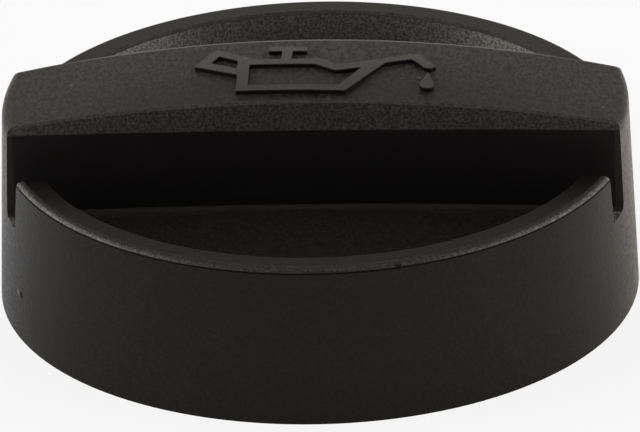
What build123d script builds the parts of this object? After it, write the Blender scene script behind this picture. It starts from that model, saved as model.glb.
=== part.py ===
from build123d import *
from dataclasses import dataclass
import math
import os

# Oil filler cap: a moulded nylon cap with a crowned grip bar across it, and its rubber sealing ring.
# Millimetres. The cap stands on its skirt at z = 0, +Z is up and X runs along the grip bar.

# Skirt and rim
skirt_diameter = 60.0        # outside, at the base
skirt_draft = 2.1            # lean of the outside, in degrees
skirt_wall = 2.4
rim_height = 15.6            # from the base to the top of the rim
rim_wall = 2.7               # across the top of the rim
rim_draft = 2.0              # lean of the recess wall, in degrees
rim_round = 0.65             # along the outer top edge of the rim
rim_end_bevel = 0.15         # on the ends of the rim, over the top and down the outside
rim_lip = 0.3                # bevel along the inner top edge of the rim
drain_slot = 2.9             # gap between each end of the rim and the grip bar, at the floor
slot_draft = 4.0             # lean of the rim's ends, in degrees

# Floor of the recess
floor_height = 11.7          # from the base to the tip of the coned floor, which the grip bar covers
floor_fall = 1.25            # how much lower the floor is at the outside
floor_thickness = 2.65       # under the tip
floor_bevel = 0.5            # where the recess wall runs into the floor

# Grip bar
bar_height = 22.0            # from the base to the crown, at mid length
bar_fall = 3.15              # how much lower the crown is at the ends
bar_width = 14.3             # across the shoulder line, at mid length
bar_end_width = 13.2         # across the shoulder line, at the ends
bar_draft = 1.5              # lean of the walls below the shoulder line, in degrees
crown_width = 13.7           # across the crown, at mid length
crown_end_width = 12.0       # across the crown, at the ends
shoulder_depth = 2.85        # from the crown down to the shoulder line, at mid length
shoulder_end_depth = 0.3     # the same, at the ends
bar_wall = 2.3               # left round the core
crown_edge = 0.2             # bevel along the two long edges of the crown
bar_end_round = 1.0          # along the two end edges of the crown
bar_root = 0.75              # hollow rounding where the bar runs into the floor, made as two flats
foot_sink = 0.25             # how far the foot of the bar dips into the floor

# Plug and bayonet lugs
plug_diameter = 33.0
plug_wall = 2.2
plug_lift = 0.8              # from the base up to the end of the plug
lug_count = 2
lug_reach = 2.4              # how far a lug stands out from the plug
lug_span = 52.0              # along the plug, in degrees
lug_ramp = 5.0               # slope of the lead-in, in degrees
flange_gap = 2.6             # between the lugs and the seal, for the flange of the filler neck

# Sealing ring
seal_width = 3.4
seal_thickness = 2.8
seal_bevel = 0.6             # along the two lower edges
seal_clearance = 0.1         # round the plug
seat_margin = 0.4            # flat seat left outside the ring

# Sizes that follow from these
skirt_radius = skirt_diameter / 2
plug_radius = plug_diameter / 2
bore_radius = plug_radius - plug_wall
seat_height = floor_height - floor_thickness
seal_inner = plug_radius + seal_clearance
seal_outer = seal_inner + seal_width
seat_radius = seal_outer + seat_margin
seal_bottom = seat_height - seal_thickness
lug_top = seal_bottom - flange_gap
over = 1.0                   # how far a cutting solid runs past what it cuts


def outer_radius(height):
    """Radius of the drafted outside at a height."""
    return skirt_radius - height * math.tan(math.radians(skirt_draft))


def inner_radius(height):
    """Radius of the skirt's inside at a height."""
    return outer_radius(height) - skirt_wall


def floor_at(radius):
    """Height of the coned floor at a radius."""
    return floor_height - floor_fall * radius / skirt_radius


@dataclass
class BarSizes:
    """Heights and widths of the grip bar's section at one place along it."""

    floor: float
    shoulder: float
    crown: float
    width: float
    crown_width: float

    def wall_half(self, height):
        """Half the width at a height, up to the shoulder line."""
        return self.width / 2 + (self.shoulder - height) * math.tan(math.radians(bar_draft))


end_crown = bar_height - bar_fall
bar_middle = BarSizes(
    floor_at(bar_width / 2), bar_height - shoulder_depth, bar_height, bar_width, crown_width
)
bar_end = BarSizes(
    floor_at(skirt_radius), end_crown - shoulder_end_depth, end_crown, bar_end_width, crown_end_width
)


def section(*lines):
    """A flat face inside lines and arcs that close a loop."""
    return make_face([edge for line in lines for edge in line.edges()])


def outline(*points):
    """A flat face with straight sides."""
    return section(Polyline(*points, close=True))


def turned(face):
    """A solid of revolution about Z, from a face with radius along X and height along Y."""
    return revolve(Plane.XZ * face, Axis.Z)


def corner(face, radius, height):
    """The vertex of a flat section nearest to a radius and a height."""
    return face.vertices().sort_by_distance((radius, height))[0]


def outer_cone(height):
    """A solid with the drafted outside, from the base up to a height."""
    return turned(outline((0, 0), (skirt_radius, 0), (outer_radius(height), height), (0, height)))


def recess():
    """The space inside the rim, above the coned floor, with a bevelled foot and a bevelled lip."""
    lean = math.tan(math.radians(rim_draft))
    mouth = outer_radius(rim_height) - rim_wall
    foot = mouth - (rim_height - floor_at(mouth)) * lean
    top = rim_height + over
    base = (foot, floor_at(foot))
    neck = (mouth - rim_lip * lean, rim_height - rim_lip)
    lip = (mouth + rim_lip + over, top)
    face = outline((0, floor_height), base, neck, lip, (0, top))
    return turned(chamfer(corner(face, *base), floor_bevel))


def drain_slots():
    """A slab above the floor that stops the rim short of the grip bar and opens through the outside."""
    reach = skirt_radius + over
    top = rim_height + over
    above_floor = turned(outline((0, floor_height), (reach, floor_at(reach)), (reach, top), (0, top)))
    low = bar_end.floor
    low_half = bar_end.wall_half(low) + drain_slot
    top_half = low_half + (top - low) * math.tan(math.radians(slot_draft))
    gap = outline(
        (-low_half, 0), (-low_half, low), (-top_half, top),
        (top_half, top), (low_half, low), (low_half, 0),
    )
    return above_floor & extrude(Plane.YZ * gap, reach, both=True)


def on_outside(point):
    """Whether a point lies on the drafted outside or on the rounding above it."""
    return math.hypot(point.X, point.Y) > outer_radius(point.Z) - rim_round


def outer_run(rim_end):
    """The edges of a rim end that run over its top, round its outer corner and down the outside."""
    middles = [(edge, edge.center()) for edge in rim_end.edges()]
    return [edge for edge, middle in middles if middle.Z > rim_height - rim_lip / 2 or on_outside(middle)]


def rimmed_drum():
    """Skirt, floor and slotted rim, solid below, the rim rounded outside and bevelled at its ends."""
    drum = outer_cone(rim_height) - recess() - drain_slots()
    rim_tops = drum.faces().sort_by(Axis.Z)[-2:]
    drum = fillet([max(top.edges(), key=lambda edge: edge.length) for top in rim_tops], rim_round)
    rim_ends = [face for face in drum.faces().filter_by(GeomType.PLANE) if abs(face.normal_at().Y) > 0.9]
    return chamfer([edge for end in rim_ends for edge in outer_run(end)], rim_end_bevel)


def bar_profile(x, line):
    """A section across the bar at x, from a line round its +Y half that starts and ends on the middle."""
    half = section(line, Line(line @ 1, line @ 0))
    return Plane.YZ.offset(x) * (half + mirror(half, Plane.YZ))


def bar_loft(half_section):
    """A solid along the bar, through a half section at its middle and at both ends."""
    return loft([
        bar_profile(-skirt_radius, half_section(bar_end)),
        bar_profile(0, half_section(bar_middle)),
        bar_profile(skirt_radius, half_section(bar_end)),
    ])


def bar_outside(sizes):
    """Half of the bar's outside: a hollow root, a drafted wall, a shoulder and the crown."""
    root_height = sizes.floor + bar_root
    wall = sizes.wall_half(root_height)
    bend = bar_root * (1 - math.sqrt(0.5))
    toe = wall + bar_root + foot_sink / math.tan(math.radians(22.5))
    edge = sizes.crown_width / 2
    return Polyline(
        (0, seat_height), (toe, seat_height), (toe, sizes.floor - foot_sink),
        (wall + bend, sizes.floor + bend), (wall, root_height), (sizes.width / 2, sizes.shoulder),
        (edge, sizes.crown - crown_edge), (edge - crown_edge, sizes.crown), (0, sizes.crown),
    )


def grip_bar():
    """The crowned bar, with ends that carry on the outside of the skirt and are rounded into the crown."""
    bar = bar_loft(bar_outside) & outer_cone(bar_height + over)
    crown = bar.faces().sort_by(Axis.Z)[-1]
    end_edges = [edge for edge in crown.edges() if abs(edge.center().X) > skirt_radius / 2]
    return fillet(end_edges, bar_end_round)


def bar_inside(sizes):
    """Half of the bar's core, one wall inside the outside."""
    foot = seat_height - over
    foot_half = sizes.wall_half(foot) - bar_wall
    top = sizes.crown - bar_wall
    return Polyline((0, foot), (foot_half, foot), (sizes.crown_width / 2 - bar_wall, top), (0, top))


def bar_core():
    """The hollow of the bar, open below, inside the plug and again outside the seal seat."""
    foot = seat_height - over
    hollow = bar_loft(bar_inside)
    inside_plug = Cylinder(bore_radius, 2 * bar_height)
    outside_seat = turned(outline(
        (seat_radius, foot), (inner_radius(foot), foot), (inner_radius(bar_height), bar_height),
        (seat_radius, bar_height),
    ))
    return (hollow & inside_plug) + (hollow & outside_seat)


def underside():
    """What is open below the floor: round the plug, inside it and under its end."""
    return turned(outline(
        (0, -over), (inner_radius(-over), -over), (inner_radius(seat_height), seat_height),
        (plug_radius, seat_height), (plug_radius, plug_lift), (bore_radius, plug_lift),
        (bore_radius, seat_height), (0, seat_height),
    ))


def bayonet_lug(angle):
    """One lug at an angle round the plug, its upper side sloping down towards the leading end."""
    root = plug_radius - plug_wall / 2
    tip = plug_radius + lug_reach
    face = outline((root, plug_lift), (tip, plug_lift), (tip, lug_top), (root, lug_top))
    block = revolve(Plane.XZ * face, Axis.Z, lug_span)
    ramp = Box(plug_diameter, plug_diameter, lug_top, align=(Align.CENTER, Align.MAX, Align.MIN))
    lead_in = Rot(Z=lug_span / 2) * Pos(plug_radius, 0, lug_top) * Rot(X=lug_ramp) * ramp
    return Rot(Z=angle - lug_span / 2) * (block - lead_in)


def cap_body():
    """The whole nylon moulding."""
    body = rimmed_drum() + grip_bar() - underside() - bar_core()
    for index in range(lug_count):
        body = body + bayonet_lug(index * 360 / lug_count)
    return body


def seal_ring():
    """The rubber ring round the root of the plug, with its lower edges bevelled."""
    face = outline(
        (seal_inner, seal_bottom), (seal_outer, seal_bottom),
        (seal_outer, seat_height), (seal_inner, seat_height),
    )
    lower_edges = [corner(face, seal_inner, seal_bottom), corner(face, seal_outer, seal_bottom)]
    return turned(chamfer(lower_edges, seal_bevel))


os.makedirs("parts", exist_ok=True)
export_step(cap_body(), "parts/cap_body.step")
export_step(seal_ring(), "parts/seal_ring.step")
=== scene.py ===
import math
import bmesh
import bpy
from mathutils import Matrix, Vector


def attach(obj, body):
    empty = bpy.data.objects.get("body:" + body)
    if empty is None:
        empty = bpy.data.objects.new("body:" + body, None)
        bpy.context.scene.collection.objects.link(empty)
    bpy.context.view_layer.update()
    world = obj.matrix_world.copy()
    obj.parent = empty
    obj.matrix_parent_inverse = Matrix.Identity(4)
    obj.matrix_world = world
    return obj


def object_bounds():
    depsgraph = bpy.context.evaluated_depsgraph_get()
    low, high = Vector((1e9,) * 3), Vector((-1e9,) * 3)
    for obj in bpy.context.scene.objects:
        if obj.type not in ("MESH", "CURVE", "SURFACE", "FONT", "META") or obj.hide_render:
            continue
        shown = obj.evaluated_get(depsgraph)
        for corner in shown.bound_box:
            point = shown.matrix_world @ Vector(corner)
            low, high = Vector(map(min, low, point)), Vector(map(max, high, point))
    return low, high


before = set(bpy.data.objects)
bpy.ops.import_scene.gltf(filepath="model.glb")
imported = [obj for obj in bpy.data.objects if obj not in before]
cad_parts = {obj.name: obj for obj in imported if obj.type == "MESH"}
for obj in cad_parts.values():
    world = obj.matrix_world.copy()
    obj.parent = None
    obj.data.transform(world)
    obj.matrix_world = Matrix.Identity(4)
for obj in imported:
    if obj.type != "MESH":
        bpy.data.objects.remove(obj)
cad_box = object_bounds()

# Cap body.
# One moulding in black glass-filled nylon: skirt, slotted rim, coned floor and the crowned grip bar.
# The tool was spark eroded, coarsely for the bar's shoulders and the recess wall, finely elsewhere.
MM = 0.001
highest_corner = cad_box[1]
HALF_BAR = highest_corner[0]
CROWN_HEIGHT = highest_corner[2]
CROWN_FALL = 3.15 * MM
CROWN_HALF = 6.85 * MM
CROWN_NARROWING = 0.85 * MM
SHOULDER_HEIGHT = 19.15 * MM
SHOULDER_FALL = 0.6 * MM
FOOT_HEIGHT = 11.62 * MM
FOOT_FALL = 0.95 * MM
FOOT_HALF = 8.0 * MM
FOOT_NARROWING = 0.55 * MM
OUTSIDE_RADIUS = 28.9 * MM
RIM_HEIGHT = 15.6 * MM
ROUNDING_RADIUS = 28.75 * MM
ROUNDING_HEIGHT = 15.18 * MM
PARTING_HEIGHT = 15.09 * MM
LIP_RADIUS = 26.9 * MM
LIP_HEIGHT = 15.3 * MM
RECESS_FOOT_RADIUS = 25.4 * MM
RECESS_FOOT_HEIGHT = 10.6 * MM
SLOT_NEAR_SIDE = 6.9 * MM
SLOT_FAR_SIDE = 9.8 * MM
SLOT_FLOOR_HEIGHT = 10.52 * MM

# Each surface has soft edges: it starts to show at the first value, and shows in full from the second.
# Below the line of the crown
SHOULDER_TOP = (0.12 * MM, 0.28 * MM)
CROWN_SKIN = (0.14 * MM, 0.08 * MM)
# In from the edge of the crown
SHOULDER_SKIN = (1.2 * MM, 1.0 * MM)
BACK_HIGHLIGHT_BAND = (0.5 * MM, 0.38 * MM)
# Both below the line of the crown and in from its edge
CROWN_EDGE_BAND = (0.28 * MM, 0.2 * MM)
# Above the line of the shoulder
SHOULDER_LOW = (-0.1 * MM, 0.05 * MM)
WALL_HIGH = (0.0, -0.15 * MM)
# Above the line of the bar's foot
WALL_LOW = (0.0, 0.15 * MM)
ROOT_HIGH = (0.65 * MM, 0.45 * MM)
FOOT_HIGH = (0.1 * MM, -0.05 * MM)
FOOT_LOW = (-0.4 * MM, -0.3 * MM)
# Out from the side of the bar's foot
FOOT_SIDE = (0.1 * MM, -0.1 * MM)
# Out from the middle of the bar
BACK_HALF = (0.0, 1.0 * MM)
WALL_SIDE = (FOOT_HALF + 0.1 * MM, FOOT_HALF - 0.1 * MM)
BAR_CLEAR = (FOOT_HALF, FOOT_HALF + 1.0 * MM)
TIPS_CLEAR = (FOOT_HALF + 2.0 * MM, FOOT_HALF + 11.0 * MM)
SLOT_NEAR = (SLOT_NEAR_SIDE, SLOT_NEAR_SIDE + 0.2 * MM)
SLOT_FAR = (SLOT_FAR_SIDE + 0.2 * MM, SLOT_FAR_SIDE)
# Out from the axis
RECESS_INNER = (RECESS_FOOT_RADIUS, RECESS_FOOT_RADIUS + 0.3 * MM)
RECESS_OUTER = (LIP_RADIUS, LIP_RADIUS - 0.2 * MM)
LIP_INNER = (LIP_RADIUS - 0.2 * MM, LIP_RADIUS - 0.1 * MM)
LIP_OUTER = (LIP_RADIUS + 0.2 * MM, LIP_RADIUS + 0.1 * MM)
SLOT_INNER = (LIP_RADIUS - 0.2 * MM, LIP_RADIUS + 0.4 * MM)
RIM_OUTER = (ROUNDING_RADIUS + 0.1 * MM, ROUNDING_RADIUS - 0.1 * MM)
ROUNDING_INNER = (ROUNDING_RADIUS - 0.1 * MM, ROUNDING_RADIUS + 0.1 * MM)
WALL_OUTER = (OUTSIDE_RADIUS, OUTSIDE_RADIUS - 0.1 * MM)
OUTSIDE_INNER = (OUTSIDE_RADIUS - 0.1 * MM, OUTSIDE_RADIUS)
# Up from the base
SLOT_LOW = (SLOT_FLOOR_HEIGHT - 0.15 * MM, SLOT_FLOOR_HEIGHT - 0.1 * MM)
SLOT_HIGH = (SLOT_FLOOR_HEIGHT + 0.3 * MM, SLOT_FLOOR_HEIGHT + 0.15 * MM)
RECESS_LOW = (RECESS_FOOT_HEIGHT, RECESS_FOOT_HEIGHT + 0.3 * MM)
RECESS_HIGH = (LIP_HEIGHT + 0.05 * MM, LIP_HEIGHT - 0.05 * MM)
LIP_LOW = (LIP_HEIGHT - 0.1 * MM, LIP_HEIGHT)
PARTING_LOW = (PARTING_HEIGHT - 0.1 * MM, PARTING_HEIGHT - 0.04 * MM)
PARTING_HIGH = (PARTING_HEIGHT + 0.1 * MM, PARTING_HEIGHT + 0.04 * MM)
ROUNDING_LOW = (ROUNDING_HEIGHT - 0.05 * MM, ROUNDING_HEIGHT + 0.1 * MM)
BRIGHT_HIGH = (ROUNDING_HEIGHT + 0.4 * MM, ROUNDING_HEIGHT + 0.25 * MM)
RIM_LOW = (RIM_HEIGHT - 0.25 * MM, RIM_HEIGHT - 0.05 * MM)
RIM_HIGH = (RIM_HEIGHT + 0.2 * MM, RIM_HEIGHT + 0.1 * MM)

# Specks lie on the crown, so they have a place along and across it. Nicks have a height too.
PALE_SPECKS = [(-22.8 * MM, 1.05 * MM), (9.85 * MM, -1.3 * MM), (27.0 * MM, -3.4 * MM)]
SPECK_REACH = 0.21 * MM
NICKS = [(-27.35 * MM, -11.7 * MM, 4.6 * MM), (8.4 * MM, -28.2 * MM, 15.25 * MM)]
# Beside a nick, a painted highlight on its lit side
NICK_LIT_SIDES = [(-27.72 * MM, -10.9 * MM, 4.5 * MM)]
NICK_REACH = 0.42 * MM

NYLON_BLACK = (0.0087, 0.0083, 0.0078, 1.0)
NYLON_MOTTLED = (0.0150, 0.0143, 0.0134, 1.0)
SKIRT_BLACK = (0.0112, 0.0107, 0.0101, 1.0)
SKIRT_MOTTLED = (0.0170, 0.0163, 0.0153, 1.0)
RIM_BLACK = (0.0090, 0.0087, 0.0081, 1.0)
RIM_MOTTLED = (0.0172, 0.0164, 0.0155, 1.0)
# Painted shade on the rim top near the bar's tips, where the bar darkens it
TIP_PAINTED_SHADE = (0.0040, 0.0038, 0.0036, 1.0)
# Painted highlight on the rim's outer rounding, paler than the rim top
ROUNDING_HIGHLIGHT_DARK = (0.0190, 0.0182, 0.0172, 1.0)
ROUNDING_HIGHLIGHT_PALE = (0.0300, 0.0287, 0.0271, 1.0)
CROWN_BLACK = (0.0080, 0.0076, 0.0072, 1.0)
CROWN_MOTTLED = (0.0480, 0.0459, 0.0433, 1.0)
SHOULDER_BLACK = (0.0185, 0.0179, 0.0172, 1.0)
SHOULDER_GREY = (0.0425, 0.0413, 0.0395, 1.0)
WALL_BLACK = (0.0070, 0.0064, 0.0066, 1.0)
# Painted shade in the crease at the root of the bar's wall
ROOT_PAINTED_SHADE = (0.0024, 0.0022, 0.0022, 1.0)
# A painted highlight along the foot of the bar
FOOT_PAINTED_HIGHLIGHT = (0.0180, 0.0172, 0.0163, 1.0)
# Painted light on the recess wall: far paler than the nylon, paler still towards the ends, for the light
# its grain catches
RECESS_PAINTED_LIGHT_DIM = (0.050, 0.0486, 0.0466, 1.0)
RECESS_PAINTED_LIGHT_GREY = (0.115, 0.1118, 0.1071, 1.0)
RECESS_END_PAINTED_LIGHT_DIM = (0.121, 0.1176, 0.1127, 1.0)
RECESS_END_PAINTED_LIGHT_GREY = (0.305, 0.2964, 0.2840, 1.0)
SLOT_FLOOR_BLACK = (0.030, 0.0292, 0.0279, 1.0)
SLOT_FLOOR_GREY = (0.130, 0.1264, 0.1210, 1.0)
# Painted light on the crown's edge, and the paler lip of the recess
EDGE_BLACK = (0.035, 0.0340, 0.0326, 1.0)
EDGE_GREY = (0.078, 0.0758, 0.0726, 1.0)
# A painted highlight along the crown's back edge
BACK_EDGE_HIGHLIGHT = (0.120, 0.1166, 0.1117, 1.0)
SPECK_GREY = (0.09, 0.088, 0.085, 1.0)
# Painted highlight and painted shade of the nicks; the shade also draws the shadow line under the rim's
# rounding at the parting line
NICK_PAINTED_HIGHLIGHT = (0.075, 0.0729, 0.0698, 1.0)
NICK_AND_PARTING_SHADE = (0.002, 0.002, 0.002, 1.0)

# The mix node's sockets for colours
FIRST_COLOUR = 6
SECOND_COLOUR = 7
MIXED_COLOUR = 2


def add_node(tree, kind, **settings):
    """A new node of a kind, with its settings."""
    node = tree.nodes.new(kind)
    for setting, value in settings.items():
        setattr(node, setting, value)
    return node


def fill_sockets(tree, node, values):
    """Fill a node's inputs, each by a link from another node's output or by a plain value."""
    for socket, value in values.items():
        if isinstance(value, bpy.types.NodeSocket):
            tree.links.new(value, node.inputs[socket])
        else:
            node.inputs[socket].default_value = value


def calculate(tree, operation, first, second=0.0, third=0.0):
    """The result of one step of arithmetic."""
    node = add_node(tree, "ShaderNodeMath", operation=operation)
    fill_sockets(tree, node, {0: first, 1: second, 2: third})
    return node.outputs[0]


def combine_vectors(tree, operation, first, second=(0.0, 0.0, 0.0), output="Vector"):
    """The result of one step of arithmetic on vectors."""
    node = add_node(tree, "ShaderNodeVectorMath", operation=operation)
    fill_sockets(tree, node, {0: first, 1: second})
    return node.outputs[output]


def split_vector(tree, vector):
    """The X, Y and Z of a vector."""
    node = add_node(tree, "ShaderNodeSeparateXYZ")
    fill_sockets(tree, node, {0: vector})
    return node.outputs


def step_between(tree, value, low, high, start=0.0, end=1.0):
    """A smooth step from start to end while a value goes from low to high."""
    node = add_node(tree, "ShaderNodeMapRange", interpolation_type="SMOOTHSTEP")
    fill_sockets(tree, node, {
        "Value": value, "From Min": low, "From Max": high, "To Min": start, "To Max": end,
    })
    return node.outputs["Result"]


def overlap(tree, *masks):
    """Where all of the masks hold."""
    shared = masks[0]
    for mask in masks[1:]:
        shared = calculate(tree, "MULTIPLY", shared, mask)
    return shared


def blend_colours(tree, mask, first, second):
    """The first colour, going over to the second where a mask holds."""
    node = add_node(tree, "ShaderNodeMix", data_type="RGBA")
    fill_sockets(tree, node, {"Factor": mask, FIRST_COLOUR: first, SECOND_COLOUR: second})
    return node.outputs[MIXED_COLOUR]


def tone_colour(tree, colour, tone):
    """A colour made paler or darker by a tone."""
    return combine_vectors(tree, "MULTIPLY", colour, tone)


def cloudy(tree, position, features, detail=2.0, raggedness=0.55):
    """Noise with features of a size."""
    node = add_node(tree, "ShaderNodeTexNoise")
    fill_sockets(tree, node, {
        "Vector": position, "Scale": 1.0 / features, "Detail": detail, "Roughness": raggedness,
    })
    return node.outputs["Fac"]


def around_points(tree, position, points, reach):
    """A round spot at each point, full up to half its reach."""
    marks = 0.0
    for point in points:
        distance = combine_vectors(tree, "DISTANCE", position, point, "Value")
        marks = calculate(tree, "MAXIMUM", marks, step_between(tree, distance, reach, reach / 2))
    return marks


def new_material(name):
    """A material with its node tree, its shader and the place on the piece."""
    material = bpy.data.materials.new(name)
    material.use_nodes = True
    tree = material.node_tree
    position = add_node(tree, "ShaderNodeTexCoord").outputs["Object"]
    return material, tree, tree.nodes["Principled BSDF"], position


def dress(piece, material):
    """Give a piece one material, in place of any that it has."""
    piece.data.materials.clear()
    piece.data.materials.append(material)


# Grain of the eroded tool: a mottle drawn out across the bar, a grit, and the height of the pits
MOTTLE_SIZE = 0.34 * MM
MOTTLE_STRETCH = (1.0, 0.5, 1.0)
MOTTLE_DETAIL = 3.0
MOTTLE_RAGGEDNESS = 0.75
MOTTLE_RANGE = (0.3, 0.72)
GRIT_SIZE = 0.24 * MM
GRIT_RANGE = (0.37, 0.66)
FINE_PIT_SIZE = 0.16 * MM
FINE_PIT_DEPTH = 0.3
COARSE_PIT_SIZE = 0.24 * MM
COARSE_PIT_RANGE = (0.35, 0.68)
PIT_DETAIL = 1.0
eroded_grain = bpy.data.node_groups.new("eroded_grain", "ShaderNodeTree")
eroded_grain.interface.new_socket("Position", in_out="INPUT", socket_type="NodeSocketVector")
eroded_grain.interface.new_socket("Coarse", in_out="INPUT", socket_type="NodeSocketFloat")
for result in ("Mottle", "Grit", "Height"):
    eroded_grain.interface.new_socket(result, in_out="OUTPUT", socket_type="NodeSocketFloat")
given = add_node(eroded_grain, "NodeGroupInput").outputs
drawn_out = combine_vectors(eroded_grain, "MULTIPLY", given["Position"], MOTTLE_STRETCH)
mottle = cloudy(eroded_grain, drawn_out, MOTTLE_SIZE, MOTTLE_DETAIL, MOTTLE_RAGGEDNESS)
grit = cloudy(eroded_grain, given["Position"], GRIT_SIZE)
fine_pits = cloudy(eroded_grain, given["Position"], FINE_PIT_SIZE, PIT_DETAIL)
coarse_pits = cloudy(eroded_grain, given["Position"], COARSE_PIT_SIZE, PIT_DETAIL)
coarse_pits = step_between(eroded_grain, coarse_pits, *COARSE_PIT_RANGE)
fine_height = calculate(eroded_grain, "MULTIPLY", fine_pits, FINE_PIT_DEPTH)
coarse_height = calculate(eroded_grain, "MULTIPLY", coarse_pits, given["Coarse"])
fill_sockets(eroded_grain, add_node(eroded_grain, "NodeGroupOutput"), {
    "Mottle": step_between(eroded_grain, mottle, *MOTTLE_RANGE),
    "Grit": step_between(eroded_grain, grit, *GRIT_RANGE),
    "Height": calculate(eroded_grain, "ADD", fine_height, coarse_height),
})


def grain_in(tree, position, coarseness):
    """The eroded grain, placed in a material."""
    node = add_node(tree, "ShaderNodeGroup", node_tree=eroded_grain)
    fill_sockets(tree, node, {"Position": position, "Coarse": coarseness})
    return node.outputs


def bump_in(tree, shader, height, depth):
    """Give a shader the relief of a grain, to a depth."""
    node = add_node(tree, "ShaderNodeBump")
    fill_sockets(tree, node, {"Strength": 1.0, "Distance": depth, "Height": height})
    tree.links.new(node.outputs["Normal"], shader.inputs["Normal"])


# Tones and shares of painted light and shade, which multiply a colour or blend in a paler one; the lip's
# share only makes the lip paler
# Runs of these along the bar go by the square of the way out, 0 at mid length and 1 at the ends.
# Painted light and shade on the crown: paler at the back, darker at the front, most of all at mid length
CROWN_BACK_PAINTED_LIGHT = 1.2
CROWN_FRONT_PAINTED_SHADE = (0.58, 0.98)
CROWN_PAINTED_SHADE_RUN = (0.0, 0.9)
# Painted light on the rim top: darker at the front, in the bar's shade, and paler at the back
RIM_PAINTED_LIGHT_TONES = (0.85, 1.55)
RIM_PAINTED_LIGHT_RUN = (-HALF_BAR / 2, HALF_BAR / 2)
RECESS_END_LIGHT_RUN = (0.05, 0.40)
BACK_HIGHLIGHT_SHARES = (0.3, 1.0)
BACK_HIGHLIGHT_RUN = (0.7, 0.35)
CROWN_EDGE_LIGHT_SHARES = (0.6, 1.0)
LIP_PALENESS = 0.6


def square_along(tree, along):
    """The square of the way out along the bar."""
    return calculate(tree, "POWER", calculate(tree, "DIVIDE", along, HALF_BAR), 2.0)


def bowed(tree, along_square, middle, fall):
    """A height or half width of the bar, which falls off from its middle to its ends."""
    return calculate(tree, "MULTIPLY_ADD", along_square, -fall, middle)


def crown_at(along):
    """Height of the crown at a place along the bar."""
    return CROWN_HEIGHT - CROWN_FALL * (along / HALF_BAR) ** 2


def crown_painted_shading(tree, depth, along_square):
    """Painted shade and light on the crown: darker towards the front, most of all at mid length, and
    paler at the back.
    """
    front_painted_shade = step_between(tree, along_square, *CROWN_PAINTED_SHADE_RUN, *CROWN_FRONT_PAINTED_SHADE)
    towards_front = step_between(tree, depth, CROWN_HALF, -CROWN_HALF)
    painted_darkening = calculate(tree, "SUBTRACT", front_painted_shade, CROWN_BACK_PAINTED_LIGHT)
    return calculate(tree, "MULTIPLY_ADD", towards_front, painted_darkening, CROWN_BACK_PAINTED_LIGHT)


# Where a place lies on the body
nylon, tree, shader, position = new_material("black_nylon")
place = split_vector(tree, position)
height = place["Z"]
off_middle = calculate(tree, "ABSOLUTE", place["Y"])
flat_place = add_node(tree, "ShaderNodeCombineXYZ")
fill_sockets(tree, flat_place, {"X": place["X"], "Y": place["Y"]})
radius = combine_vectors(tree, "LENGTH", flat_place.outputs[0], output="Value")
along_square = square_along(tree, place["X"])
crown_line = bowed(tree, along_square, CROWN_HEIGHT, CROWN_FALL)
crown_half = bowed(tree, along_square, CROWN_HALF, CROWN_NARROWING)
shoulder_line = bowed(tree, along_square, SHOULDER_HEIGHT, SHOULDER_FALL)
foot_line = bowed(tree, along_square, FOOT_HEIGHT, FOOT_FALL)
foot_half = bowed(tree, along_square, FOOT_HALF, FOOT_NARROWING)
below_crown = calculate(tree, "SUBTRACT", crown_line, height)
inside_crown = calculate(tree, "SUBTRACT", crown_half, off_middle)
above_shoulder = calculate(tree, "SUBTRACT", height, shoulder_line)
above_foot = calculate(tree, "SUBTRACT", height, foot_line)
past_foot = calculate(tree, "SUBTRACT", off_middle, foot_half)

# Surfaces of the grip bar
on_crown = step_between(tree, below_crown, *CROWN_SKIN)
# The crown's edge gets painted light, fuller at the back than the front
on_crown_edge_light = overlap(
    tree,
    step_between(tree, place["Y"], *BACK_HALF, *CROWN_EDGE_LIGHT_SHARES),
    step_between(tree, inside_crown, *CROWN_EDGE_BAND),
    step_between(tree, below_crown, *CROWN_EDGE_BAND),
)
# A painted highlight along the crown's back edge, fading out towards its ends
on_back_edge_highlight = overlap(
    tree, on_crown,
    step_between(tree, inside_crown, *BACK_HIGHLIGHT_BAND),
    step_between(tree, place["Y"], *BACK_HALF),
    step_between(tree, along_square, *BACK_HIGHLIGHT_RUN, *BACK_HIGHLIGHT_SHARES),
)
on_shoulder = overlap(
    tree,
    step_between(tree, below_crown, *SHOULDER_TOP),
    step_between(tree, above_shoulder, *SHOULDER_LOW),
    step_between(tree, inside_crown, *SHOULDER_SKIN),
)
on_bar_wall = overlap(
    tree,
    step_between(tree, radius, *WALL_OUTER),
    step_between(tree, off_middle, *WALL_SIDE),
    step_between(tree, above_shoulder, *WALL_HIGH),
    step_between(tree, above_foot, *WALL_LOW),
)
on_root = overlap(tree, on_bar_wall, step_between(tree, above_foot, *ROOT_HIGH))
# The foot of the bar, which gets a painted highlight
on_foot = overlap(
    tree,
    step_between(tree, above_foot, *FOOT_HIGH),
    step_between(tree, above_foot, *FOOT_LOW),
    step_between(tree, past_foot, *FOOT_SIDE),
)

# Surfaces of the recess, rim, slots and skirt
past_bar = step_between(tree, off_middle, *BAR_CLEAR)
past_tips = step_between(tree, off_middle, *TIPS_CLEAR)
below_bar = step_between(tree, height, *RIM_HIGH)
on_recess_wall = overlap(
    tree, past_bar,
    step_between(tree, radius, *RECESS_INNER),
    step_between(tree, radius, *RECESS_OUTER),
    step_between(tree, height, *RECESS_LOW),
    step_between(tree, height, *RECESS_HIGH),
)
on_lip = overlap(
    tree, past_bar, past_tips, below_bar,
    step_between(tree, radius, *LIP_INNER),
    step_between(tree, radius, *LIP_OUTER),
    step_between(tree, height, *LIP_LOW),
)
on_rim_top = overlap(
    tree, past_bar, below_bar,
    step_between(tree, radius, *RIM_OUTER),
    step_between(tree, height, *RIM_LOW),
)
on_rounding = overlap(
    tree, past_bar, below_bar,
    step_between(tree, radius, *ROUNDING_INNER),
    step_between(tree, height, *ROUNDING_LOW),
)
on_bright_line = overlap(tree, on_rounding, step_between(tree, height, *BRIGHT_HIGH))
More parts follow.
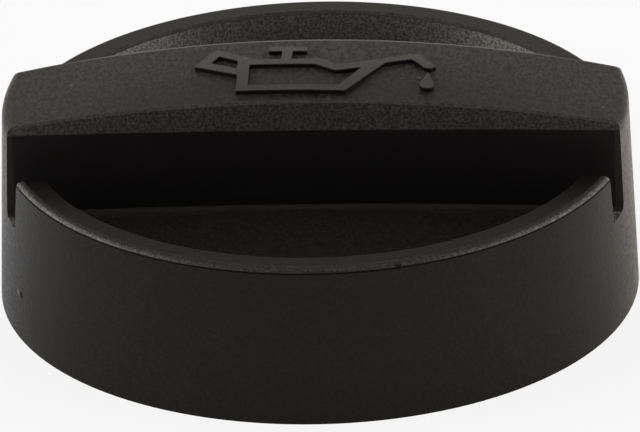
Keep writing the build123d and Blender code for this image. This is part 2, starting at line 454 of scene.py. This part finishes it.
on_slot_floor = overlap(
    tree,
    step_between(tree, radius, *SLOT_INNER),
    step_between(tree, off_middle, *SLOT_NEAR),
    step_between(tree, off_middle, *SLOT_FAR),
    step_between(tree, height, *SLOT_LOW),
    step_between(tree, height, *SLOT_HIGH),
)
outside = step_between(tree, radius, *OUTSIDE_INNER)
on_skirt = overlap(tree, outside, calculate(tree, "SUBTRACT", 1.0, on_rounding))
# Painted shadow under the rim's rounding, along the parting line
on_parting_line = overlap(
    tree, outside, past_bar,
    step_between(tree, height, *PARTING_LOW),
    step_between(tree, height, *PARTING_HIGH),
)

# Finish of each surface
SHOULDER_COARSENESS = 0.6
ROUNDING_COARSENESS = 0.5
SKIRT_COARSENESS = 0.2
RIM_COARSENESS = 0.35
NYLON_GRAIN_DEPTH = 0.03 * MM
NYLON_ROUGHNESS = (0.40, 0.54)
SKIRT_SMOOTHING = -0.12
RIM_SMOOTHING = -0.06
NICK_ROUGHENING = 0.4
NYLON_SHINE = 0.055
NYLON_SHINE_TINT = (1.0, 0.95, 0.89, 1.0)
BRIGHT_GRIT_RANGE = (0.1, 0.9)
BRIGHT_COATS = (0.33, 0.74)
BRIGHT_COAT_ROUGHNESS = 0.3
BRIGHT_COAT_IOR = 1.5
coarseness = calculate(tree, "MAXIMUM", on_shoulder, on_recess_wall)
coarseness = calculate(tree, "MULTIPLY", coarseness, SHOULDER_COARSENESS)
coarseness = calculate(tree, "MULTIPLY_ADD", on_rounding, ROUNDING_COARSENESS, coarseness)
coarseness = calculate(tree, "MULTIPLY_ADD", on_skirt, SKIRT_COARSENESS, coarseness)
coarseness = calculate(tree, "MULTIPLY_ADD", on_rim_top, RIM_COARSENESS, coarseness)
grain = grain_in(tree, position, coarseness)
# The bar's wall, with painted shade at its root
wall_and_root_shade = blend_colours(tree, on_root, WALL_BLACK, ROOT_PAINTED_SHADE)
skirt_colour = blend_colours(tree, grain["Mottle"], SKIRT_BLACK, SKIRT_MOTTLED)
slot_floor_colour = blend_colours(tree, grain["Grit"], SLOT_FLOOR_BLACK, SLOT_FLOOR_GREY)
# The rim top gets painted light, darker at the front and paler at the back
rim_painted_light = step_between(tree, place["Y"], *RIM_PAINTED_LIGHT_RUN, *RIM_PAINTED_LIGHT_TONES)
rim_colour = blend_colours(tree, grain["Mottle"], RIM_BLACK, RIM_MOTTLED)
# Near the bar's tips the rim top takes painted shade
rim_colour = blend_colours(tree, past_tips, TIP_PAINTED_SHADE, tone_colour(tree, rim_colour, rim_painted_light))
# The rim's rounding gets grit and a painted highlight
rounding_painted_highlight = blend_colours(tree, grain["Grit"], ROUNDING_HIGHLIGHT_DARK, ROUNDING_HIGHLIGHT_PALE)
crown_colour = blend_colours(tree, grain["Mottle"], CROWN_BLACK, CROWN_MOTTLED)
crown_colour = tone_colour(tree, crown_colour, crown_painted_shading(tree, place["Y"], along_square))
shoulder_colour = blend_colours(tree, grain["Grit"], SHOULDER_BLACK, SHOULDER_GREY)
# The recess wall takes its grain's grit and painted light, brightest towards the ends of the bar
recess_end_light = step_between(tree, along_square, *RECESS_END_LIGHT_RUN)
recess_painted_dim = blend_colours(tree, recess_end_light, RECESS_PAINTED_LIGHT_DIM, RECESS_END_PAINTED_LIGHT_DIM)
recess_painted_grey = blend_colours(tree, recess_end_light, RECESS_PAINTED_LIGHT_GREY, RECESS_END_PAINTED_LIGHT_GREY)
recess_grain_and_light = blend_colours(tree, grain["Grit"], recess_painted_dim, recess_painted_grey)
pale_edge_colour = blend_colours(tree, grain["Mottle"], EDGE_BLACK, EDGE_GREY)
on_pale_edges = calculate(tree, "MAXIMUM", on_crown_edge_light, overlap(tree, on_lip, LIP_PALENESS))
speck_places = [(along, across, crown_at(along)) for along, across in PALE_SPECKS]
on_specks = around_points(tree, position, speck_places, SPECK_REACH)
on_nick_highlights = around_points(tree, position, NICK_LIT_SIDES, NICK_REACH)
on_nicks = around_points(tree, position, NICKS, NICK_REACH)
on_nick_and_parting_shade = calculate(tree, "MAXIMUM", on_nicks, on_parting_line)
colour = blend_colours(tree, grain["Mottle"], NYLON_BLACK, NYLON_MOTTLED)
for mask, surface_colour in [
    (on_bar_wall, wall_and_root_shade),
    (on_skirt, skirt_colour),
    (on_slot_floor, slot_floor_colour),
    (on_rim_top, rim_colour),
    (on_rounding, rounding_painted_highlight),
    (on_foot, FOOT_PAINTED_HIGHLIGHT),
    (on_crown, crown_colour),
    (on_shoulder, shoulder_colour),
    (on_recess_wall, recess_grain_and_light),
    (on_pale_edges, pale_edge_colour),
    (on_back_edge_highlight, BACK_EDGE_HIGHLIGHT),
    (on_nick_highlights, NICK_PAINTED_HIGHLIGHT),
    (on_specks, SPECK_GREY),
    (on_nick_and_parting_shade, NICK_AND_PARTING_SHADE),
]:
    colour = blend_colours(tree, mask, colour, surface_colour)
roughness = step_between(tree, grain["Mottle"], 0.0, 1.0, *NYLON_ROUGHNESS)
roughness = calculate(tree, "MULTIPLY_ADD", on_skirt, SKIRT_SMOOTHING, roughness)
roughness = calculate(tree, "MULTIPLY_ADD", on_rim_top, RIM_SMOOTHING, roughness)
roughness = calculate(tree, "MULTIPLY_ADD", on_nick_and_parting_shade, NICK_ROUGHENING, roughness)
bright_coat = step_between(tree, grain["Grit"], *BRIGHT_GRIT_RANGE, *BRIGHT_COATS)
fill_sockets(tree, shader, {
    "Base Color": colour,
    "Roughness": roughness,
    "Specular IOR Level": NYLON_SHINE,
    "Specular Tint": NYLON_SHINE_TINT,
    "Coat Weight": overlap(tree, on_bright_line, bright_coat),
    "Coat Roughness": BRIGHT_COAT_ROUGHNESS,
    "Coat IOR": BRIGHT_COAT_IOR,
})
bump_in(tree, shader, grain["Height"], NYLON_GRAIN_DEPTH)
dress(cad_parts["cap_body"], nylon)

# Oil can sign.
# A raised engine oil pictogram, moulded with the crown: a flat-topped relief with slightly rounded edges.
# It follows the crown's curve, turned a touch from the bar's own line, and has a smoother top.
SIGN_RELIEF = 0.42 * MM
SIGN_SINK = 0.1 * MM
SIGN_THICKNESS = SIGN_RELIEF + SIGN_SINK
SIGN_TURN = math.radians(-2.2)
SIGN_CORNER = 0.14 * MM
SIGN_EDGE = 0.14 * MM
ROUNDING_SEGMENTS = 2
CUT_SPACING = 2.0 * MM
CUTS_EACH_WAY = 5
UPRIGHT_SHARE = 0.9
SIDE_TILT = 0.5
LEVEL_TOLERANCE = 0.001 * MM
SIGN_TOP = (SIGN_RELIEF - SIGN_EDGE, SIGN_RELIEF - 0.3 * SIGN_EDGE)
# Painted shade on the sign's sides, and painted light on its tops, paler than the crown
SIGN_SIDE_PAINTED_SHADE = (0.0055, 0.0053, 0.0050, 1.0)
SIGN_BLACK = (0.0420, 0.0402, 0.0379, 1.0)
SIGN_GREY = (0.0660, 0.0631, 0.0595, 1.0)
SIGN_ROUGHNESS = (0.38, 0.46)
SIGN_COARSENESS = 0.0
SIGN_GRAIN_DEPTH = 0.015 * MM
# Outlines in millimetres, along and across the crown
CAN_OUTLINE = [
    (-11.3, 0.55), (-9.6, 3.8), (-8.7, 3.6), (-7.05, 2.4), (-6.4, 2.2), (-5.95, 1.5), (-3.2, 1.5),
    (-3.2, 3.3), (-4.5, 3.3), (-4.5, 4.2), (-0.93, 4.15), (-0.93, 3.27), (-2.25, 3.27), (-2.25, 1.5),
    (0.65, 1.6), (1.95, 0.45), (3.0, 0.62), (4.3, 1.1), (6.5, 2.1), (8.9, 3.3), (9.5, 3.35),
    (11.37, 1.03), (10.82, 0.42), (10.3, 0.54), (9.2, 2.05), (8.85, 2.2), (6.5, 1.1), (3.2, -5.22),
    (-7.0, -5.22), (-7.1, -1.65),
]
HANDLE_HOLE = [(-9.8, 1.1), (-9.08, 2.56), (-7.23, 1.4), (-7.23, -0.4)]
CAN_HOLE = [(-6.1, 0.45), (0.07, 0.45), (2.05, -0.9), (4.45, -0.05), (2.6, -4.05), (-5.95, -4.1)]
OIL_DROP = [
    (10.66, -0.45), (10.12, -2.5), (10.0, -3.2), (10.22, -3.75), (10.7, -3.95), (11.22, -3.7),
    (11.42, -3.1), (11.22, -2.3),
]


def fill_loops(mesh, loops):
    """Fill an outline, less the holes that follow it."""
    edges = []
    for loop in loops:
        corners = [mesh.verts.new((along * MM, across * MM, 0.0)) for along, across in loop]
        edges += [mesh.edges.new((corners[index - 1], corners[index])) for index in range(len(corners))]
    bmesh.ops.triangle_fill(mesh, use_beauty=True, use_dissolve=False, edges=edges)


def round_edges(mesh, edges, offset):
    """Round some edges of a mesh."""
    bmesh.ops.bevel(
        mesh, geom=edges, offset=offset, offset_type="OFFSET", segments=ROUNDING_SEGMENTS, profile=0.5,
        affect="EDGES", clamp_overlap=True, material=-1,
    )


def is_upright(edge):
    """Whether an edge stands upright."""
    run = edge.verts[1].co - edge.verts[0].co
    return abs(run.z) > UPRIGHT_SHARE * run.length


def is_top_rim(edge):
    """Whether an edge runs between the sign's flat top and its side."""
    level = all(abs(vert.co.z - SIGN_THICKNESS) < LEVEL_TOLERANCE for vert in edge.verts)
    return level and any(abs(face.normal.z) < SIDE_TILT for face in edge.link_faces)


def finish_piece(mesh, name, material):
    """A piece made of a mesh, in one material."""
    data = bpy.data.meshes.new(name)
    mesh.to_mesh(data)
    mesh.free()
    piece = bpy.data.objects.new(name, data)
    bpy.context.scene.collection.objects.link(piece)
    dress(piece, material)
    return piece


sign_mesh = bmesh.new()
fill_loops(sign_mesh, [CAN_OUTLINE, HANDLE_HOLE, CAN_HOLE])
fill_loops(sign_mesh, [OIL_DROP])
raised = bmesh.ops.extrude_face_region(sign_mesh, geom=sign_mesh.faces[:], use_keep_orig=True)
raised_verts = [item for item in raised["geom"] if isinstance(item, bmesh.types.BMVert)]
bmesh.ops.translate(sign_mesh, verts=raised_verts, vec=(0.0, 0.0, SIGN_THICKNESS))
bmesh.ops.recalc_face_normals(sign_mesh, faces=sign_mesh.faces[:])
round_edges(sign_mesh, [edge for edge in sign_mesh.edges if is_upright(edge)], SIGN_CORNER)
sign_mesh.normal_update()
round_edges(sign_mesh, [edge for edge in sign_mesh.edges if is_top_rim(edge)], SIGN_EDGE)
for cut in range(-CUTS_EACH_WAY, CUTS_EACH_WAY + 1):
    whole = sign_mesh.verts[:] + sign_mesh.edges[:] + sign_mesh.faces[:]
    cut_place = (cut * CUT_SPACING, 0.0, 0.0)
    bmesh.ops.bisect_plane(sign_mesh, geom=whole, plane_co=cut_place, plane_no=(1.0, 0.0, 0.0))
sign_turn = Matrix.Rotation(SIGN_TURN, 3, "Z")
bmesh.ops.rotate(sign_mesh, verts=sign_mesh.verts[:], cent=(0.0, 0.0, 0.0), matrix=sign_turn)
for vert in sign_mesh.verts:
    vert.co.z += crown_at(vert.co.x) - SIGN_SINK
bmesh.ops.recalc_face_normals(sign_mesh, faces=sign_mesh.faces[:])

sign_nylon, tree, shader, position = new_material("sign_nylon")
place = split_vector(tree, position)
along_square = square_along(tree, place["X"])
crown_line = bowed(tree, along_square, CROWN_HEIGHT, CROWN_FALL)
above_crown = calculate(tree, "SUBTRACT", place["Z"], crown_line)
on_top = step_between(tree, above_crown, *SIGN_TOP)
grain = grain_in(tree, position, SIGN_COARSENESS)
# The top takes painted light and the crown's painted shading, the sides painted shade
painted_lit_top = blend_colours(tree, grain["Mottle"], SIGN_BLACK, SIGN_GREY)
painted_lit_top = tone_colour(tree, painted_lit_top, crown_painted_shading(tree, place["Y"], along_square))
fill_sockets(tree, shader, {
    "Base Color": blend_colours(tree, on_top, SIGN_SIDE_PAINTED_SHADE, painted_lit_top),
    "Roughness": step_between(tree, grain["Mottle"], 0.0, 1.0, *SIGN_ROUGHNESS),
    "Specular IOR Level": NYLON_SHINE,
    "Specular Tint": NYLON_SHINE_TINT,
})
bump_in(tree, shader, grain["Height"], SIGN_GRAIN_DEPTH)
sign = finish_piece(sign_mesh, "oil_can_sign", sign_nylon)
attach(sign, "root")

# Seal ring.
# A moulded rubber ring on the root of the plug, seated flat against the underside of the floor.
# The rubber is matt, with a shallow grain.
RUBBER_BLACK = (0.008, 0.008, 0.0085, 1.0)
RUBBER_GREY = (0.016, 0.016, 0.017, 1.0)
RUBBER_COARSENESS = 0.25
RUBBER_GRAIN_DEPTH = 0.02 * MM
RUBBER_ROUGHNESS = (0.6, 0.75)
RUBBER_SHINE = 0.3
rubber, tree, shader, position = new_material("seal_rubber")
grain = grain_in(tree, position, RUBBER_COARSENESS)
fill_sockets(tree, shader, {
    "Base Color": blend_colours(tree, grain["Mottle"], RUBBER_BLACK, RUBBER_GREY),
    "Roughness": step_between(tree, grain["Mottle"], 0.0, 1.0, *RUBBER_ROUGHNESS),
    "Specular IOR Level": RUBBER_SHINE,
})
bump_in(tree, shader, grain["Height"], RUBBER_GRAIN_DEPTH)
dress(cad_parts["seal_ring"], rubber)

# Floor.
# A plain painted sheet that looks nearly white and keeps the cap's faint shadow.
# What the cap mirrors of it has painted shade close by, and painted light, warmer and brighter, on the
# right.
FLOOR_HALF = 3.0
FLOOR_PALE = (0.840, 0.865, 0.905, 1.0)
FLOOR_PALER = (0.850, 0.875, 0.915, 1.0)
FLOOR_PATCHES = 400.0 * MM
FLOOR_PATCH_RANGE = (0.3, 0.7)
FLOOR_ROUGHNESS = 0.9
FLOOR_SHINE = 0.0
SEEN_WHITE = (0.98, 0.98, 0.98, 1.0)
SEEN_SHARE = 0.85
MIRRORED_LEFT = (0.90, 0.89, 0.91, 1.0)
MIRRORED_RIGHT_LIGHT = (1.22, 1.12, 1.03, 1.0)
MIRRORED_RUN = (-HALF_BAR, HALF_BAR)
# Painted shade close to the cap, in what the cap mirrors of the floor
CLOSE_PAINTED_SHADE = (0.80, 1.18)
CLOSE_RUN = (HALF_BAR, 1.6 * HALF_BAR)
floor_mesh = bmesh.new()
bmesh.ops.create_grid(floor_mesh, x_segments=1, y_segments=1, size=FLOOR_HALF)
floor_paint, tree, shader, position = new_material("floor_paint")
patches = step_between(tree, cloudy(tree, position, FLOOR_PATCHES), *FLOOR_PATCH_RANGE)
fill_sockets(tree, shader, {
    "Base Color": blend_colours(tree, patches, FLOOR_PALE, FLOOR_PALER),
    "Roughness": FLOOR_ROUGHNESS,
    "Specular IOR Level": FLOOR_SHINE,
})
light_path = add_node(tree, "ShaderNodeLightPath").outputs
seen = calculate(tree, "MAXIMUM", light_path["Is Camera Ray"], light_path["Is Glossy Ray"])
seen = calculate(tree, "MAXIMUM", seen, light_path["Is Transmission Ray"])
to_right = step_between(tree, split_vector(tree, position)["X"], *MIRRORED_RUN)
from_axis = combine_vectors(tree, "LENGTH", position, output="Value")
close_shading = step_between(tree, from_axis, *CLOSE_RUN, *CLOSE_PAINTED_SHADE)
mirrored_painted_shading = blend_colours(tree, to_right, MIRRORED_LEFT, MIRRORED_RIGHT_LIGHT)
mirrored_painted_shading = tone_colour(tree, mirrored_painted_shading, close_shading)
white = add_node(tree, "ShaderNodeEmission")
fill_sockets(tree, white, {
    "Color": blend_colours(tree, light_path["Is Glossy Ray"], SEEN_WHITE, mirrored_painted_shading),
    "Strength": 1.0,
})
pale_floor = add_node(tree, "ShaderNodeMixShader")
fill_sockets(tree, pale_floor, {
    0: calculate(tree, "MULTIPLY", seen, SEEN_SHARE), 1: shader.outputs[0], 2: white.outputs[0],
})
tree.links.new(pale_floor.outputs[0], tree.nodes["Material Output"].inputs["Surface"])
floor = finish_piece(floor_mesh, "floor", floor_paint)

# Light.
# A white studio tent, brightest at the left and right, dimmer behind, above and below, and dark in front.
# The light from the sides is the most sharply aimed.
LIGHT_FROM = {"left": 5.5, "right": 4.9, "front": 0.12, "back": 1.05, "below": 0.5, "top": 0.42}
SIDE_SHARPNESS = 4.0
OTHER_SHARPNESS = 2.0
LIGHT_SEAM = (-0.001, 0.001)
TENT_WHITE = (1.0, 0.968, 0.925, 1.0)
scene = bpy.context.scene
scene.view_settings.view_transform = "Standard"
world = bpy.data.worlds.new("studio")
world.use_nodes = True
tree = world.node_tree
towards = split_vector(tree, add_node(tree, "ShaderNodeTexCoord").outputs["Generated"])


def light_along(tree, part, sharpness, low_end, high_end):
    """Light from the two ends of an axis, given the part of the direction that lies along it."""
    level = step_between(tree, part, *LIGHT_SEAM, LIGHT_FROM[low_end], LIGHT_FROM[high_end])
    spread = calculate(tree, "POWER", calculate(tree, "ABSOLUTE", part), sharpness)
    return calculate(tree, "MULTIPLY", spread, level)


across_light = light_along(tree, towards["X"], SIDE_SHARPNESS, "left", "right")
depth_light = light_along(tree, towards["Y"], OTHER_SHARPNESS, "front", "back")
upright_light = light_along(tree, towards["Z"], OTHER_SHARPNESS, "below", "top")
tent_light = calculate(tree, "ADD", calculate(tree, "ADD", across_light, depth_light), upright_light)
fill_sockets(tree, tree.nodes["Background"], {"Color": TENT_WHITE, "Strength": tent_light})
scene.world = world

# Camera.
# A long lens in front of the cap and above it, a touch to the right and slightly rolled.
PHOTO_WIDTH = 640
FOCAL_PIXELS = 12970.0
SENSOR_WIDTH = 36.0
CLIP_END = 50.0
CAMERA_DISTANCE = 1218.0 * MM
CAMERA_ELEVATION = math.radians(25.777)
CAMERA_AZIMUTH = math.radians(2.3965)
CAMERA_ROLL = math.radians(-1.60)
CAMERA_AIM = Vector((0.150, 0.0, 6.805)) * MM
target = Matrix.Rotation(CAMERA_AZIMUTH, 3, "Z") @ CAMERA_AIM
back = Vector((
    math.sin(CAMERA_AZIMUTH) * math.cos(CAMERA_ELEVATION),
    -math.cos(CAMERA_AZIMUTH) * math.cos(CAMERA_ELEVATION),
    math.sin(CAMERA_ELEVATION),
))
side = Vector((math.cos(CAMERA_AZIMUTH), math.sin(CAMERA_AZIMUTH), 0.0))
up = back.cross(side)
rolled_side = math.cos(CAMERA_ROLL) * side + math.sin(CAMERA_ROLL) * up
rolled_up = math.cos(CAMERA_ROLL) * up - math.sin(CAMERA_ROLL) * side
camera_data = bpy.data.cameras.new("camera")
camera_data.sensor_width = SENSOR_WIDTH
camera_data.lens = FOCAL_PIXELS * SENSOR_WIDTH / PHOTO_WIDTH
camera_data.clip_end = CLIP_END
camera = bpy.data.objects.new("camera", camera_data)
scene.collection.objects.link(camera)
turn = Matrix((rolled_side, rolled_up, back)).transposed().to_4x4()
camera.matrix_world = Matrix.Translation(target + back * CAMERA_DISTANCE) @ turn
scene.camera = camera
